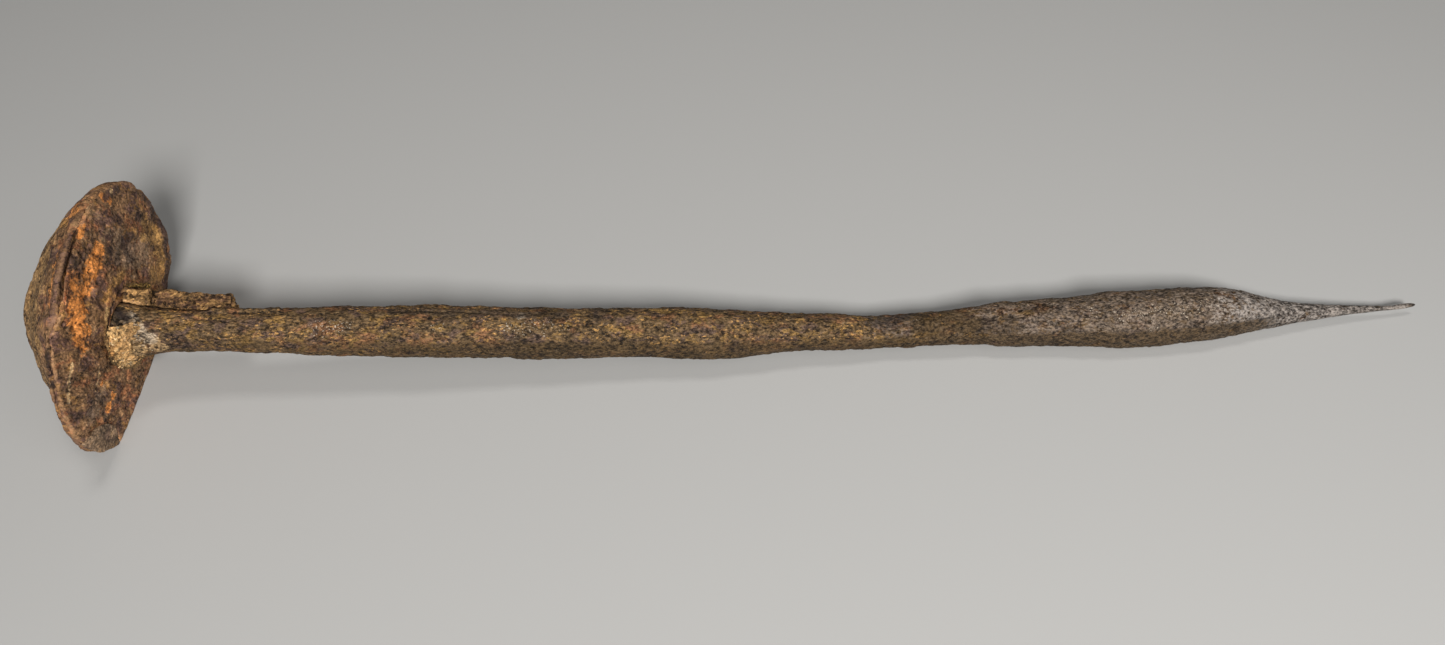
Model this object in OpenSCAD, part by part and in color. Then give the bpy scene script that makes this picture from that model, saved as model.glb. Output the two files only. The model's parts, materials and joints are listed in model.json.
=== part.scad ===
// Dome-headed drift spike of forged iron, bent, wasted and scaled by rust.
// It lies as it was found: the head on a flat worn on its rim, the belly on the ground.
// X runs along the bar towards the point, Z is up, Y is across the bar.

/* [Head] */
// Diameter of the head across its rim
head_d = 96; // [84:1:110]
// Depth of the crown behind the lip
crown_h = 27; // [20:1:32]
// Fullness of the crown's curve: 1 is a cone, 2 is half an ellipse
crown_fullness = 1.25; // [1.2:0.05:2]
// Thickness of the lip round the rim
lip_t = 3; // [2:0.5:5]
// Bulge of the bearing face in front of the lip
face_bulge = 1.5; // [1:0.5:4]
// Depth of the flat that is worn on the rim where it rests
rim_flat = 11; // [5:0.5:14]
// Tilt of the head on the bar, top towards the point
head_tilt = 4; // [0:0.5:5]
// Swing of the head on the bar, to the side
head_swing = -2.7; // [-4:0.1:4]
// Opening, at the rim, of the crack between the head's two layers
crack_open = 0.8; // [0.4:0.1:1.2]
// Depth of that crack from the rim
crack_depth = 9; // [5:1:14]
// Depth to which the seam between the layers dishes back at its middle
seam_dish = 5; // [4:0.5:8]
// Clearance in that seam
seam_gap = 0.1; // [0.05:0.05:0.2]
// Distance of the bar's axis from the head's centre, to the side
bar_side = 4; // [0:0.5:6]
// Distance of the bar's axis from the head's centre, downwards
bar_drop = 3.2; // [0:0.1:5]

/* [Tenon] */
// Diameter of the tenon through the head
tenon_d = 15; // [12:0.5:17]
// Clearance round the tenon, on the radius
tenon_gap = 0.1; // [0.05:0.05:0.3]
// Diameter of the tenon's peened end
peen_d = 22; // [20:1:26]
// Height of the peened end's dome
peen_dome = 4; // [2:0.5:5]
// Thickness of the peened end's edge
peen_edge = 1; // [0.5:0.25:1.5]
// Depth of the peened end's top below the apex of the crown
peen_sink = 2; // [1.5:0.25:4]
// Depth to which the bar's shoulder is sunk in the bearing face
shoulder_sink = 2; // [2:0.25:3]
// Width of the crack round the sunk shoulder
root_gap = 0.5; // [0.2:0.1:1]

/* [Bar] */
// Diameter of the shoulder at the bar's root
root_d = 20.5; // [19:0.5:24]
// Diameter of the throat under the head
throat_d = 15.2; // [13:0.2:17]
// Distance of the throat from the shoulder
throat_at = 28; // [22:1:40]
// Diameter of the straight bar
bar_d = 18.6; // [17:0.1:22]
// Length of the swell from the throat up to the full bar
swell_l = 64; // [40:2:80]
// Length of the bar from its shoulder to the bend at the waist
bar_l = 275; // [250:1:320]
// Diameter of the last full stretch of bar before it wastes away
last_d = 19.4; // [17:0.1:22]
// Distance of that stretch back from the waist
last_back = 74; // [68:1:90]
// Diameter of the first step of the wasting
step_d = 15.8; // [14.5:0.1:17]
// Distance of that step back from the waist
step_back = 38; // [30:1:50]
// Diameter of the waist, where the bar is bent
waist_d = 12.8; // [10:0.2:14]
// Radius of the bar's bends, at its axis
bend_r = 60; // [40:5:100]

/* [Belly and point] */
// Diameter of the belly, the part's widest round
belly_d = 22.5; // [20:0.5:26]
// Length of the belly's true cylinder
belly_l = 27; // [20:1:34]
// Length of the rise from the waist to the belly
rise_l = 89; // [76:1:110]
// Diameter half way up that rise
rise_d = 16.4; // [15:0.2:18.5]
// Length of the point from the belly to its end
point_l = 103; // [86:1:120]
// Bend of the point, downwards from the level belly
point_bend = 4; // [1:0.5:5]
// Turn of that bend to the side
point_side = 30; // [0:5:60]
// Diameter of the needle near its end
needle_d = 1.9; // [1.6:0.1:3]
// Diameter of the small burr at the very end
burr_d = 2.3; // [1.8:0.1:3.4]

/* [Scale and crusts] */
// Thickness of the scale strip and the scale block over the bar
scale_t = 5.2; // [4:0.2:6.5]
// Length of the scale block, from the bearing face
block_l = 9.5; // [7:0.5:12]
// Gap between the scale block and the scale strip
scale_gap = 1.2; // [0.6:0.1:2]
// Length of the scale strip
strip_l = 26; // [20:1:34]
// Thickness of the crust in the corner of the root
root_crust_t = 3.4; // [2.6:0.2:4.5]
// Length of that crust along the bar
root_crust_l = 9; // [6:0.5:12]
// Thickness of the crust on top of the scale block
crest_crust_t = 2.2; // [1.6:0.2:3]
// Length of that crust along the scale block
crest_crust_l = 6; // [4:0.5:6.5]
// Radius of the curved crack round the cap that has spalled at the rim
spall_r = 20; // [16:0.5:24]
// Distance of that curve's centre outside the rim
spall_out = 10; // [6:0.5:12]
// Clearance under scale, crusts and the spalled cap
seat_gap = 0.12; // [0.1:0.02:0.2]

/* [Hidden] */
$fn = 96;
head_r = head_d / 2;
belly_r = belly_d / 2;
rest_h = head_r - rim_flat;
far = 2 * (head_d + bar_l);

// Places along the bar, from the shoulder's seat, and along the head's axis, from its lip
face_x = lip_t / 2 + face_bulge;
seat_x = face_x - shoulder_sink;
grip_l = seat_x + lip_t / 2 + crown_h - peen_sink - peen_edge - peen_dome;
block_end = shoulder_sink + block_l;
strip_start = block_end + scale_gap;

// Angles round the bar, from +Y at 0 through the top at 90
strip_arc = [-15, 45];
block_arc = [0, 52];
crest_arc = [12, 46];
root_crust_arc = [122, 232];
spall_angle = 213;

// The bar's slope: its head end is as high as the rim holds it, and past the bend at its waist
// it runs level, at the height of the belly
waist_dx = seat_x + bar_l;
waist_dz = bar_drop - bend_r;
lie_angle = asin((rest_h - belly_r - bend_r) / norm([waist_dx, waist_dz]))
    - atan2(waist_dz, waist_dx);
level_x = waist_dx * cos(lie_angle) - waist_dz * sin(lie_angle);
belly_end = rise_l + belly_l;

// The bar's bends: each is this much thicker than the waist, or thinner than the belly, and
// the stretches on both sides of it reach this far into each other
bend_step = 0.2;
bend_lap = 2;

// Ends of the whole spike, which set the middle that the origin stands under
tip_x = level_x + belly_end - bend_lap + bend_r * sin(point_bend)
    + point_l * cos(point_bend);
peen_x = (seat_x - grip_l - peen_edge) * cos(lie_angle) - bar_drop * sin(lie_angle)
    - norm([peen_dome * cos(lie_angle), peen_d / 2 * sin(lie_angle)]);
mid_x = (tip_x + peen_x) / 2;

// Stations of the bar, the belly and the point, each as [distance, diameter]
bar_stations = [
    [0, root_d],
    [throat_at, throat_d],
    [throat_at + swell_l, bar_d],
    [bar_l - last_back - swell_l, bar_d],
    [bar_l - last_back, last_d],
    [bar_l - step_back, step_d],
    [bar_l + bend_lap, waist_d]
];
belly_stations = [
    [-bend_lap, waist_d],
    [rise_l / 2, rise_d],
    [rise_l, belly_d],
    [belly_end, belly_d]
];
point_stations = [
    [-bend_lap, belly_d - 3 * bend_step],
    [0.08 * point_l, 0.92 * belly_d],
    [0.24 * point_l, 0.81 * belly_d],
    [0.46 * point_l, 0.4 * belly_d],
    [0.72 * point_l, (needle_d + 0.25 * belly_d) / 2],
    [0.91 * point_l, needle_d],
    [0.95 * point_l, burr_d],
    [point_l, burr_d / 4]
];

// Slope of a smooth curve through stations s at station i, level at peaks, dips and ends
function secant(s, i) = (s[i + 1][1] - s[i][1]) / (s[i + 1][0] - s[i][0]);
function slope(s, i) =
    i == 0 || i == len(s) - 1 || secant(s, i - 1) * secant(s, i) <= 0 ? 0
    : 2 * secant(s, i - 1) * secant(s, i) / (secant(s, i - 1) + secant(s, i));

// The curve's diameter at the share t of the way from station i to the next
function between(s, i, t) =
    let (w = s[i + 1][0] - s[i][0])
    (1 + 2 * t) * (1 - t)^2 * s[i][1] + t * (1 - t)^2 * w * slope(s, i)
    + t^2 * (3 - 2 * t) * s[i + 1][1] - t^2 * (1 - t) * w * slope(s, i + 1);

// The curve as a row of [distance, diameter], one step on a true cylinder and n elsewhere
function smooth(s, n = 5) = [
    for (i = [0 : len(s) - 2])
        let (steps = s[i][1] == s[i + 1][1] ? 1 : n)
        for (k = [0 : steps - 1])
            [s[i][0] + k / steps * (s[i + 1][0] - s[i][0]), between(s, i, k / steps)],
    s[len(s) - 1]
];

// Radius of the bar between its shoulder and its full diameter, at a distance x
function bar_r(x) =
    let (i = x < throat_at ? 0 : 1, s = bar_stations)
    between(s, i, (x - s[i][0]) / (s[i + 1][0] - s[i][0])) / 2;

// Height of a dome of fullness e over the rim's plane, at the radius r
function dome(r, h, e) = h * (1 - (r / head_r)^e)^(1 / e);

// Places: the whole spike over its middle, and the axes of its bar, belly, point and head
module lying() translate([-mid_x, 0, 0]) children();
module bar_axis()
    translate([0, 0, rest_h]) rotate([0, lie_angle, 0])
        translate([seat_x, -bar_side, -bar_drop]) children();
module belly_axis() translate([level_x, -bar_side, belly_r]) children();
module point_axis()
    belly_axis() translate([belly_end - bend_lap, 0, 0]) rotate([180 + point_side, 0, 0])
        children();
module head_axis()
    translate([0, 0, rest_h]) rotate([0, lie_angle, 0])
        rotate([0, head_tilt, head_swing]) children();

// Turns an outline of [radius, distance] points round the X axis, over an arc from +Y
module turned(points, arc = [0, 360])
    rotate([90, 0, 90]) rotate([0, 0, arc[0]])
        rotate_extrude(angle = arc[1] - arc[0]) polygon(points);

// A round bar through stations s
module round_bar(s)
    turned([[0, s[0][0]], for (p = smooth(s)) [p[1] / 2, p[0]], [0, s[len(s) - 1][0]]]);

// A cylinder along X, from one distance to another
module rod(r, from, to)
    translate([from, 0, 0]) rotate([0, 90, 0]) cylinder(r = r, h = to - from);

// A bend of a round bar at the origin, from +X towards +Z, and the axis that comes out of it
module bend(d, angle)
    translate([0, 0, bend_r]) rotate([90, 0, 0]) rotate([0, 0, -90])
        rotate_extrude(angle = angle) translate([bend_r, 0]) circle(d = d);
module past_bend(angle)
    translate([bend_r * sin(angle), 0, bend_r * (1 - cos(angle))]) rotate([0, -angle, 0])
        children();

module below_ground() translate([-far, -far, -far]) cube([2 * far, 2 * far, far]);

// The shoulder, the throat and the bar, with the tenon and its peened end, as one turning
module bar_with_tenon() {
    steps = 8;
    turned([
        for (i = [0 : steps])
            [peen_d / 2 * sin(90 * i / steps), -grip_l - peen_edge - peen_dome * cos(90 * i / steps)],
        [peen_d / 2, -grip_l],
        [tenon_d / 2, -grip_l],
        [tenon_d / 2, 0],
        for (p = smooth(bar_stations)) [p[1] / 2, p[0]],
        [0, bar_l + bend_lap]
    ]);
}

// The forged bar, bent at its waist and past its belly
module shank() color("#6b4c33") lying() {
    bar_axis() {
        bar_with_tenon();
        translate([bar_l, 0, 0]) bend(waist_d + bend_step, lie_angle);
    }
    belly_axis() round_bar(belly_stations);
    point_axis() {
        bend(belly_d - 2 * bend_step, point_bend);
        past_bend(point_bend) round_bar(point_stations);
    }
}

// What the bar takes out of the head: the tenon's hole, the seat of the shoulder and the seat
// of the peened end
module bar_seats()
    bar_axis() {
        rod(tenon_d / 2 + tenon_gap, -far, far);
        rod(root_d / 2 + root_gap, 0, far);
        rod(peen_d / 2 + root_gap, -far, -grip_l);
    }

// One layer of the head: from the dished seam, which opens at the rim as the crack, to a dome
// towards the bar for side 1, or away from it for side -1
module head_layer(side, h, e) {
    steps = 14;
    head_axis() turned([
        [0, side * seam_gap / 2 - seam_dish],
        [head_r - crack_depth, side * seam_gap / 2],
        [head_r, side * crack_open / 2],
        for (i = [steps : -1 : 0])
            let (r = head_r * sin(90 * i / steps))
            [r, side * (lip_t / 2 + dome(r, h, e))]
    ]);
}
module spall_plug(r)
    head_axis() rotate([spall_angle, 0, 0]) translate([0, head_r + spall_out, 0])
        rod(r, -far, far);

// The crown, the domed outer layer of the head
module head_crown() color("#70503a") lying()
    difference() {
        head_layer(-1, crown_h, crown_fullness);
        bar_seats();
        below_ground();
    }

// The inner layer of the head, with the bearing face
module face_layer() head_layer(1, face_bulge, 2);
module head_face() color("#7a5238") lying()
    difference() {
        face_layer();
        bar_seats();
        spall_plug(spall_r + seat_gap);
        below_ground();
    }

// The cap that has come loose at the lower end of the rim
module rim_spall() color("#66564a") lying()
    difference() {
        intersection() {
            face_layer();
            spall_plug(spall_r);
        }
        below_ground();
    }

// Keeps a crust clear of the bearing face, which lies at a slant to the bar
module off_the_face()
    difference() {
        children();
        head_axis() turned([
            [0, -crown_h],
            [head_r, -crown_h],
            for (i = [8 : -1 : 0])
                let (r = head_r * i / 8)
                [r, lip_t / 2 + seat_gap + dome(r, face_bulge, 2)]
        ]);
    }

// Scale of thickness t seated on the bar from one distance to another, over an arc
module scale(from, to, t, arc) {
    steps = 6;
    bar_axis() turned([
        for (i = [0 : steps])
            let (x = from + (to - from) * i / steps)
            [bar_r(x) + seat_gap, x],
        [bar_r(to) + seat_gap + t, to],
        [bar_r(from) + seat_gap + t, from]
    ], arc);
}

module scale_block() color("#6a4a34") lying()
    off_the_face() scale(0, block_end, scale_t, block_arc);

module scale_strip() color("#6e4f38") lying()
    scale(strip_start, strip_start + strip_l, scale_t, strip_arc);

// The tan crust in the corner between the root and the bearing face
module root_crust() color("#a08457") lying()
    off_the_face() bar_axis() {
        end = shoulder_sink + root_crust_l;
        steps = 5;
        turned([
            [root_d / 2 + root_crust_t, 0],
            for (i = [0 : steps]) let (x = end * i / steps) [bar_r(x) + seat_gap, x],
            [bar_r(end) + root_crust_t / 4, end],
            [root_d / 2 + root_crust_t, shoulder_sink + root_crust_l / 3]
        ], root_crust_arc);
    }

// The yellowish crust that bridges the scale block and the bearing face
module crest_crust() color("#9a7a3e") lying()
    off_the_face() bar_axis() {
        end = shoulder_sink + crest_crust_l;
        under = bar_r(0) + scale_t + 2 * seat_gap;
        turned([
            [under, 0],
            [bar_r(end) + scale_t + 2 * seat_gap, end],
            [bar_r(end) + scale_t + crest_crust_t / 2, end],
            [under + crest_crust_t, 0]
        ], crest_arc);
    }

shank();
head_crown();
head_face();
rim_spall();
scale_block();
scale_strip();
root_crust();
crest_crust();
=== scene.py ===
"""Dome-headed drift spike of forged iron: the finish of its bar, head, scale and crusts.

Laid out as an add-on. Run as a script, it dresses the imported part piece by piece, then makes
the stage, the lights and the camera. Lengths are in metres unless a name or comment says
millimetres.
"""
import json
import math

import bpy
import numpy as np
from bpy.props import FloatProperty, FloatVectorProperty, PointerProperty
from mathutils import Matrix, Vector, noise


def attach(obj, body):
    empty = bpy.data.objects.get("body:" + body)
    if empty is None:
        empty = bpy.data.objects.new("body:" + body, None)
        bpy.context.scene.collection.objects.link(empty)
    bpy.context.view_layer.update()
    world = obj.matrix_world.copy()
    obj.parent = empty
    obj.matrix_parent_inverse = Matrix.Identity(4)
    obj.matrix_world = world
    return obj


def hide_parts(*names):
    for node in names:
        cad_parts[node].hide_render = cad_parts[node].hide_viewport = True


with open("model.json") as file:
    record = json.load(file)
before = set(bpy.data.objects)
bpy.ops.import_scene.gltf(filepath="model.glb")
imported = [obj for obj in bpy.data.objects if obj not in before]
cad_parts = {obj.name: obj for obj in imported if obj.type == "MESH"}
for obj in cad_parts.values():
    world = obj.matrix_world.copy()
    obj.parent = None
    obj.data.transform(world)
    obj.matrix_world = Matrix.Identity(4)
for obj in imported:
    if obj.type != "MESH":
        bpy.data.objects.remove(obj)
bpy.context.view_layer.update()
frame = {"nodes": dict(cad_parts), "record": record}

bl_info = {
    "name": "Drift spike",
    "version": (1, 0, 0),
    "blender": (4, 5, 0),
    "location": "3D View > Sidebar > Drift spike",
    "description": "Dresses a dome-headed drift spike with rusted, pitted and scaled iron",
    "category": "Object",
}

MM = 0.001
MOUNTS = {mount["name"]: mount for mount in frame["record"]["mounts"]}

# The head's axis points along the bar; its middle lies on the rim's middle plane
FACE_X = 3.0
HEAD_AXIS = Vector(MOUNTS["bearing_face"]["axis"]).normalized()
HEAD_SIDE = Vector((0, 0, 1)).cross(HEAD_AXIS).normalized()
HEAD_UP = HEAD_AXIS.cross(HEAD_SIDE)
HEAD_MIDDLE = Vector(MOUNTS["bearing_face"]["pos_m"]) / MM - FACE_X * HEAD_AXIS
HEAD_R = 48.0
HEAD_FRAME = np.array([HEAD_AXIS, HEAD_SIDE, HEAD_UP])
SEAM_DISH = 5.0
SEAM_FLAT_R = 39.0
SEAM_OPEN = 0.4
# How far the grain of the head's iron is turned about X
GRAIN_TURN = math.radians(36)

# The bar slopes down to its waist, runs level through the belly, and droops to its tip.
# Distances along it start at the head's middle.
BELLY = Vector(MOUNTS["driven_belly"]["pos_m"]) / MM
WAIST_S, POINT_S, TIP_S = 278.4, 396.9, 503
WAIST_BACK = 104.9
BAR_SLOPE = math.radians(4.65)
BAR_AXIS = Vector((math.cos(BAR_SLOPE), 0, -math.sin(BAR_SLOPE)))
WAIST = BELLY - Vector((WAIST_BACK, 0, 0))
POINT_DROOP, POINT_SIDE = math.radians(4), math.radians(30)
POINT_AXIS = Vector((
    math.cos(POINT_DROOP),
    math.sin(POINT_DROOP) * math.sin(POINT_SIDE),
    -math.sin(POINT_DROOP) * math.cos(POINT_SIDE),
))
# The side of the bar that lifts and dips are measured towards: away and up
LIFT = Vector((0, math.cos(math.radians(39)), math.sin(math.radians(39))))
# The angle round the bar that faces the camera
FRONT_ANGLE = 125

# The bar as [distance, radius, lift], in millimetres
TENON = [
    (-26.4, 1.4, 0), (-26.0, 4.6, 0), (-25.0, 7.8, 0), (-23.6, 10.0, 0), (-22.4, 10.9, 0),
    (-21.7, 10.9, 0), (-21.6, 9.0, 0), (-21.5, 7.3, 0), (-20.4, 7.3, 0), (-10, 7.3, 0),
    (0, 7.3, 0), (0.9, 7.3, 0), (1.0, 9.4, 0), (1.1, 10.2, 0),
]
BAR = [
    (2.2, 10.2, 0), (4, 10.0, 0), (9, 8.9, 0), (18, 7.7, 0.1), (28, 7.4, 0.1), (40, 7.5, 0),
    (50, 7.7, -0.3), (65, 8.4, -0.1), (76, 8.9, 0.1), (100, 9.5, -0.25), (136, 9.4, -0.45),
    (158, 9.4, -0.55), (178, 9.2, -0.35), (191, 9.0, -0.25), (200, 9.5, -0.6),
    (210, 9.8, -1.0), (223.5, 9.2, -0.8), (237, 8.2, -0.2), (248, 7.7, -0.1),
    (256, 7.5, -0.1), (263.5, 7.2, -0.2), (275, 6.7, -0.4), (283, 6.2, -0.4),
    (294.5, 6.6, -0.1), (310, 6.9, 0.2), (318, 7.4, 0.5), (331, 8.7, 0.4), (344.5, 9.3, 0.2),
    (356, 9.7, 0), (363.5, 10.2, -0.2), (371, 11.2, 0.2), (381, 11.3, 0.1), (387, 11.2, -0.2),
    (396, 11.1, -0.1), (405, 10.9, 0), (414, 10.3, 0.5), (422, 9.6, 0.85), (428.5, 8.3, 0.4),
    (435, 6.8, -0.1), (444, 4.7, -0.4), (453.5, 3.6, -0.4), (472.5, 1.85, -0.2),
    (485, 1.15, -0.1), (492.5, 0.85, -0.1), (497, 1.15, 0.5), (500.5, 1.0, 0.8),
    (TIP_S, 0.7, 0.9),
]
RING_SIDES = 12
RING_STEP = 5.2
# A smoothed ring of twelve sides comes out this much smaller than it was drawn
RING_SHRINK = (2 + math.cos(2 * math.pi / RING_SIDES)) / 3


# --- Objects and meshes ---------------------------------------------------------------------

def only(piece):
    """Selects one object alone."""
    bpy.ops.object.select_all(action="DESELECT")
    piece.select_set(True)
    bpy.context.view_layer.objects.active = piece


def apply_modifier(piece, kind, **settings):
    only(piece)
    modifier = piece.modifiers.new(kind, kind)
    for key, value in settings.items():
        setattr(modifier, key, value)
    bpy.ops.object.modifier_apply(modifier=modifier.name)


def copy_of(node, name):
    """A copy of a CAD node, with its loose triangles joined."""
    only(frame["nodes"][node])
    bpy.ops.object.duplicate()
    piece = bpy.context.active_object
    piece.name = piece.data.name = name
    piece.data.materials.clear()
    bpy.ops.object.mode_set(mode="EDIT")
    bpy.ops.mesh.select_all(action="SELECT")
    bpy.ops.mesh.remove_doubles(threshold=0.001 * MM)
    bpy.ops.object.mode_set(mode="OBJECT")
    return piece


def points(piece):
    """A mesh's vertices in millimetres, as rows."""
    co = np.empty(len(piece.data.vertices) * 3, np.float32)
    piece.data.vertices.foreach_get("co", co)
    return co.reshape(-1, 3).astype(float) / MM


def normals(piece):
    rows = np.empty(len(piece.data.vertices) * 3, np.float32)
    piece.data.vertices.foreach_get("normal", rows)
    return rows.reshape(-1, 3)


def keep(piece, name, values):
    """Keeps a number for each vertex as an attribute that the finish reads."""
    attribute = piece.data.attributes.new(name, "FLOAT", "POINT")
    attribute.data.foreach_set("value", np.asarray(values, np.float32))


# --- Sculpting ------------------------------------------------------------------------------

def weigh(piece, weights):
    """Puts a weight on each vertex, in the vertex group named mask."""
    group = piece.vertex_groups.get("mask") or piece.vertex_groups.new(name="mask")
    steps = 250
    levels = np.round(np.clip(weights, 0, 1) * steps).astype(int)
    for level in np.unique(levels):
        group.add(np.flatnonzero(levels == level).tolist(), level / steps, "REPLACE")


def shift(piece, amounts, direction="NORMAL"):
    """Moves each vertex by its own amount in millimetres."""
    for sign in (1, -1):
        part = np.clip(sign * amounts, 0, None)
        top = part.max()
        if top > 0:
            weigh(piece, part / top)
            apply_modifier(piece, "DISPLACE", strength=sign * top * MM, mid_level=0,
                           direction=direction, vertex_group="mask")


def start_of(seed):
    """Where a pattern starts, so that each seed shows another stretch of it."""
    return (seed * 0.137, seed * 0.071, seed * 0.053)


def relief(piece, depth, size, mask=None, stretch=(1, 1, 1), turn=0.0, seed=0, level=0.5,
           kind="CLOUDS", stops=None, **settings):
    """Roughens a surface with a pattern of that depth and size in millimetres."""
    texture = bpy.data.textures.new("relief", kind)
    texture.noise_scale = 1
    for key, value in settings.items():
        setattr(texture, key, value)
    if stops:
        texture.use_color_ramp = True
        set_stops(texture.color_ramp, [(at, (v, v, v, 1)) for at, v in stops])
    bpy.ops.object.select_all(action="DESELECT")
    bpy.ops.object.empty_add(location=start_of(seed), rotation=(turn, 0, 0))
    space = bpy.context.active_object
    space.scale = [size * s * MM for s in stretch]
    bpy.context.view_layer.update()
    if mask is not None:
        weigh(piece, mask)
    apply_modifier(piece, "DISPLACE", strength=depth * MM, mid_level=level, texture=texture,
                   texture_coords="OBJECT", texture_coords_object=space,
                   vertex_group="" if mask is None else "mask")
    bpy.data.objects.remove(space)
    bpy.data.textures.remove(texture)


def set_stops(ramp, stops):
    while len(ramp.elements) < len(stops):
        ramp.elements.new(1)
    for element, (position, colour) in zip(ramp.elements, stops):
        element.position = position
        element.color = colour


def ease(low, high, values):
    """0 below low, 1 above high, and a smooth rise between them."""
    t = np.clip((values - low) / (high - low), 0, 1)
    return t * t * (3 - 2 * t)


def mottle(places, size, seed=0):
    """Smooth noise from -1 to 1 with features of that size in millimetres."""
    rows = (places / size + 7.3 * seed).tolist()
    return np.fromiter((noise.noise(row) for row in rows), float, len(rows))


def distance_to(places, path):
    """Distance from each place to a path of straight stretches."""
    best = np.full(len(places), np.inf)
    for start, end in zip(path, path[1:]):
        a, run = np.array(start), np.array(end) - np.array(start)
        share = np.clip((places - a) @ run / (run @ run), 0, 1)
        best = np.minimum(best, np.linalg.norm(places - a - share[:, None] * run, axis=1))
    return best


def spots(places, stains, ragged=0.35):
    """Soft patches, each given as (middle or path, reach), with ragged edges."""
    total = np.zeros(len(places))
    edge = ragged * (mottle(places, 3.1, 1) + 0.6 * mottle(places, 1.3, 2))
    for path, reach in stains:
        path = path if isinstance(path, list) else [path, path + Vector((0.01, 0, 0))]
        total = np.maximum(total, ease(0, 0.7, 1 - distance_to(places, path) / reach + edge))
    return total


def keep_stains(piece, places, **stains):
    """Keeps the masks of stains, each given as the patches that spots takes."""
    for name, patches in stains.items():
        keep(piece, name, spots(places, patches))


def none_selected(piece, mode):
    """Leaves nothing selected in a mesh; mode is VERT or FACE."""
    only(piece)
    bpy.ops.object.mode_set(mode="EDIT")
    bpy.ops.mesh.select_mode(type=mode)
    bpy.ops.mesh.select_all(action="DESELECT")
    bpy.ops.object.mode_set(mode="OBJECT")


def refine(piece, path, reach):
    """Makes the mesh finer along a path."""
    none_selected(piece, "FACE")
    faces = piece.data.polygons
    centres = np.empty(len(faces) * 3, np.float32)
    faces.foreach_get("center", centres)
    faces.foreach_set("select", distance_to(centres.reshape(-1, 3) / MM, path) < reach)
    bpy.ops.object.mode_set(mode="EDIT")
    bpy.ops.mesh.subdivide(number_cuts=1)
    bpy.ops.object.mode_set(mode="OBJECT")


def crack(piece, path, width, depth, seed=0):
    """Cuts a ragged crack along a path, tapered at both ends."""
    refine(piece, path, 1.6 * width + 0.6)
    places = points(piece)
    wander = 0.45 * width * mottle(places, 2.2, seed)
    reach = np.abs(distance_to(places, path) + wander)
    ends = np.minimum(*(np.linalg.norm(places - np.array(path[i]), axis=1) for i in (0, -1)))
    taper = ease(0, 5, ends) * 0.8 + 0.2
    shift(piece, -depth * taper * np.clip(1.15 - reach / width, 0, 1) ** 0.8)


def keep_cracks(piece, *paths, width=0.5):
    """Keeps where shade is painted into the cracks along some paths."""
    places = points(piece)
    reach = np.min([distance_to(places, path) for path in paths], axis=0)
    wander = 0.5 * mottle(places, 3, 3) + 0.3 * mottle(places, 1.2, 4)
    keep(piece, "crack", ease(width + 0.45, width - 0.45, reach + wander))


def keep_heights(piece):
    """Keeps how far each vertex stands out of its surroundings, in millimetres."""
    for name, steps in (("fine_height", 8), ("broad_height", 60)):
        only(piece)
        bpy.ops.object.duplicate()
        smooth = bpy.context.active_object
        apply_modifier(smooth, "SMOOTH", factor=0.5, iterations=steps)
        out = ((points(piece) - points(smooth)) * normals(piece)).sum(axis=1)
        bpy.data.objects.remove(smooth)
        keep(piece, name, out)


def settle(piece):
    """Flattens what would reach below the surface that the spike lies on."""
    none_selected(piece, "VERT")
    below = points(piece)[:, 2] < 0
    if below.any():
        piece.data.vertices.foreach_set("select", below)
        bpy.ops.object.mode_set(mode="EDIT")
        bpy.ops.transform.resize(value=(1, 1, 0), center_override=(0, 0, 0))
        bpy.ops.object.mode_set(mode="OBJECT")


def hand_over(piece, node, finish):
    """The last steps of every piece: it takes its node's place, its finish and its body."""
    settle(piece)
    keep_heights(piece)
    only(piece)
    piece.vertex_groups.clear()
    bpy.ops.object.shade_smooth_by_angle(angle=math.radians(55))
    piece.data.materials.clear()
    piece.data.materials.append(finish)
    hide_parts(node)
    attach(piece, "root")


# --- Places on the spike --------------------------------------------------------------------

def bar_middle(s):
    """The bar's middle line, at a distance in millimetres from the head's middle."""
    if s <= WAIST_S:
        return WAIST - BAR_AXIS * (WAIST_S - s)
    if s <= POINT_S:
        return WAIST + Vector((s - WAIST_S, 0, 0))
    return WAIST + Vector((POINT_S - WAIST_S, 0, 0)) + POINT_AXIS * (s - POINT_S)


def bar_station(s):
    """(middle, radius) of the bar, from its list of stations."""
    at, radius, lift = zip(*(TENON + BAR))
    return bar_middle(s) + LIFT * float(np.interp(s, at, lift)), float(np.interp(s, at, radius))


def on_bar(s, angle):
    """A place on the bar's surface: the angle runs from the far side up over the top."""
    middle, radius = bar_station(s)
    a = math.radians(angle)
    return middle + radius * Vector((0, math.cos(a), math.sin(a)))


def on_head(radius, angle, x=2.5):
    """A place on the head: the radius, the angle from the far side up over the top, and x
    along its axis from the middle plane of its rim."""
    a = math.radians(angle)
    across = math.cos(a) * HEAD_SIDE + math.sin(a) * HEAD_UP
    return HEAD_MIDDLE + x * HEAD_AXIS + radius * across


def head_places(places):
    """(x, radius, angle) of each place in the head's own frame, as on_head takes them."""
    x, side, up = ((places - np.array(HEAD_MIDDLE)) @ HEAD_FRAME.T).T
    return x, np.hypot(side, up), np.degrees(np.arctan2(up, side)) % 360


def angle_round_bar(places):
    """Angle of each place round the bar, as on_bar takes it."""
    rows = places - np.array(WAIST)
    up = rows[:, 2] + np.where(rows[:, 0] < 0, rows[:, 0] * math.tan(BAR_SLOPE), 0)
    return np.degrees(np.arctan2(up, rows[:, 1])) % 360


def bar_distance(places):
    """Distance along the bar of each place, and its radius from the sloping part's axis."""
    rows = places - np.array(WAIST)
    s = rows @ np.array(BAR_AXIS)
    out = np.linalg.norm(rows - s[:, None] * np.array(BAR_AXIS), axis=1)
    return np.where(rows[:, 0] > 0, rows[:, 0], s) + WAIST_S, out


def bar_path(*stops):
    """A path over the bar's surface, through places given as on_bar takes them."""
    return [on_bar(*stop) for stop in stops]


def head_path(*stops):
    """A path over the head, through places given as on_head takes them."""
    return [on_head(*stop) for stop in stops]


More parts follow.
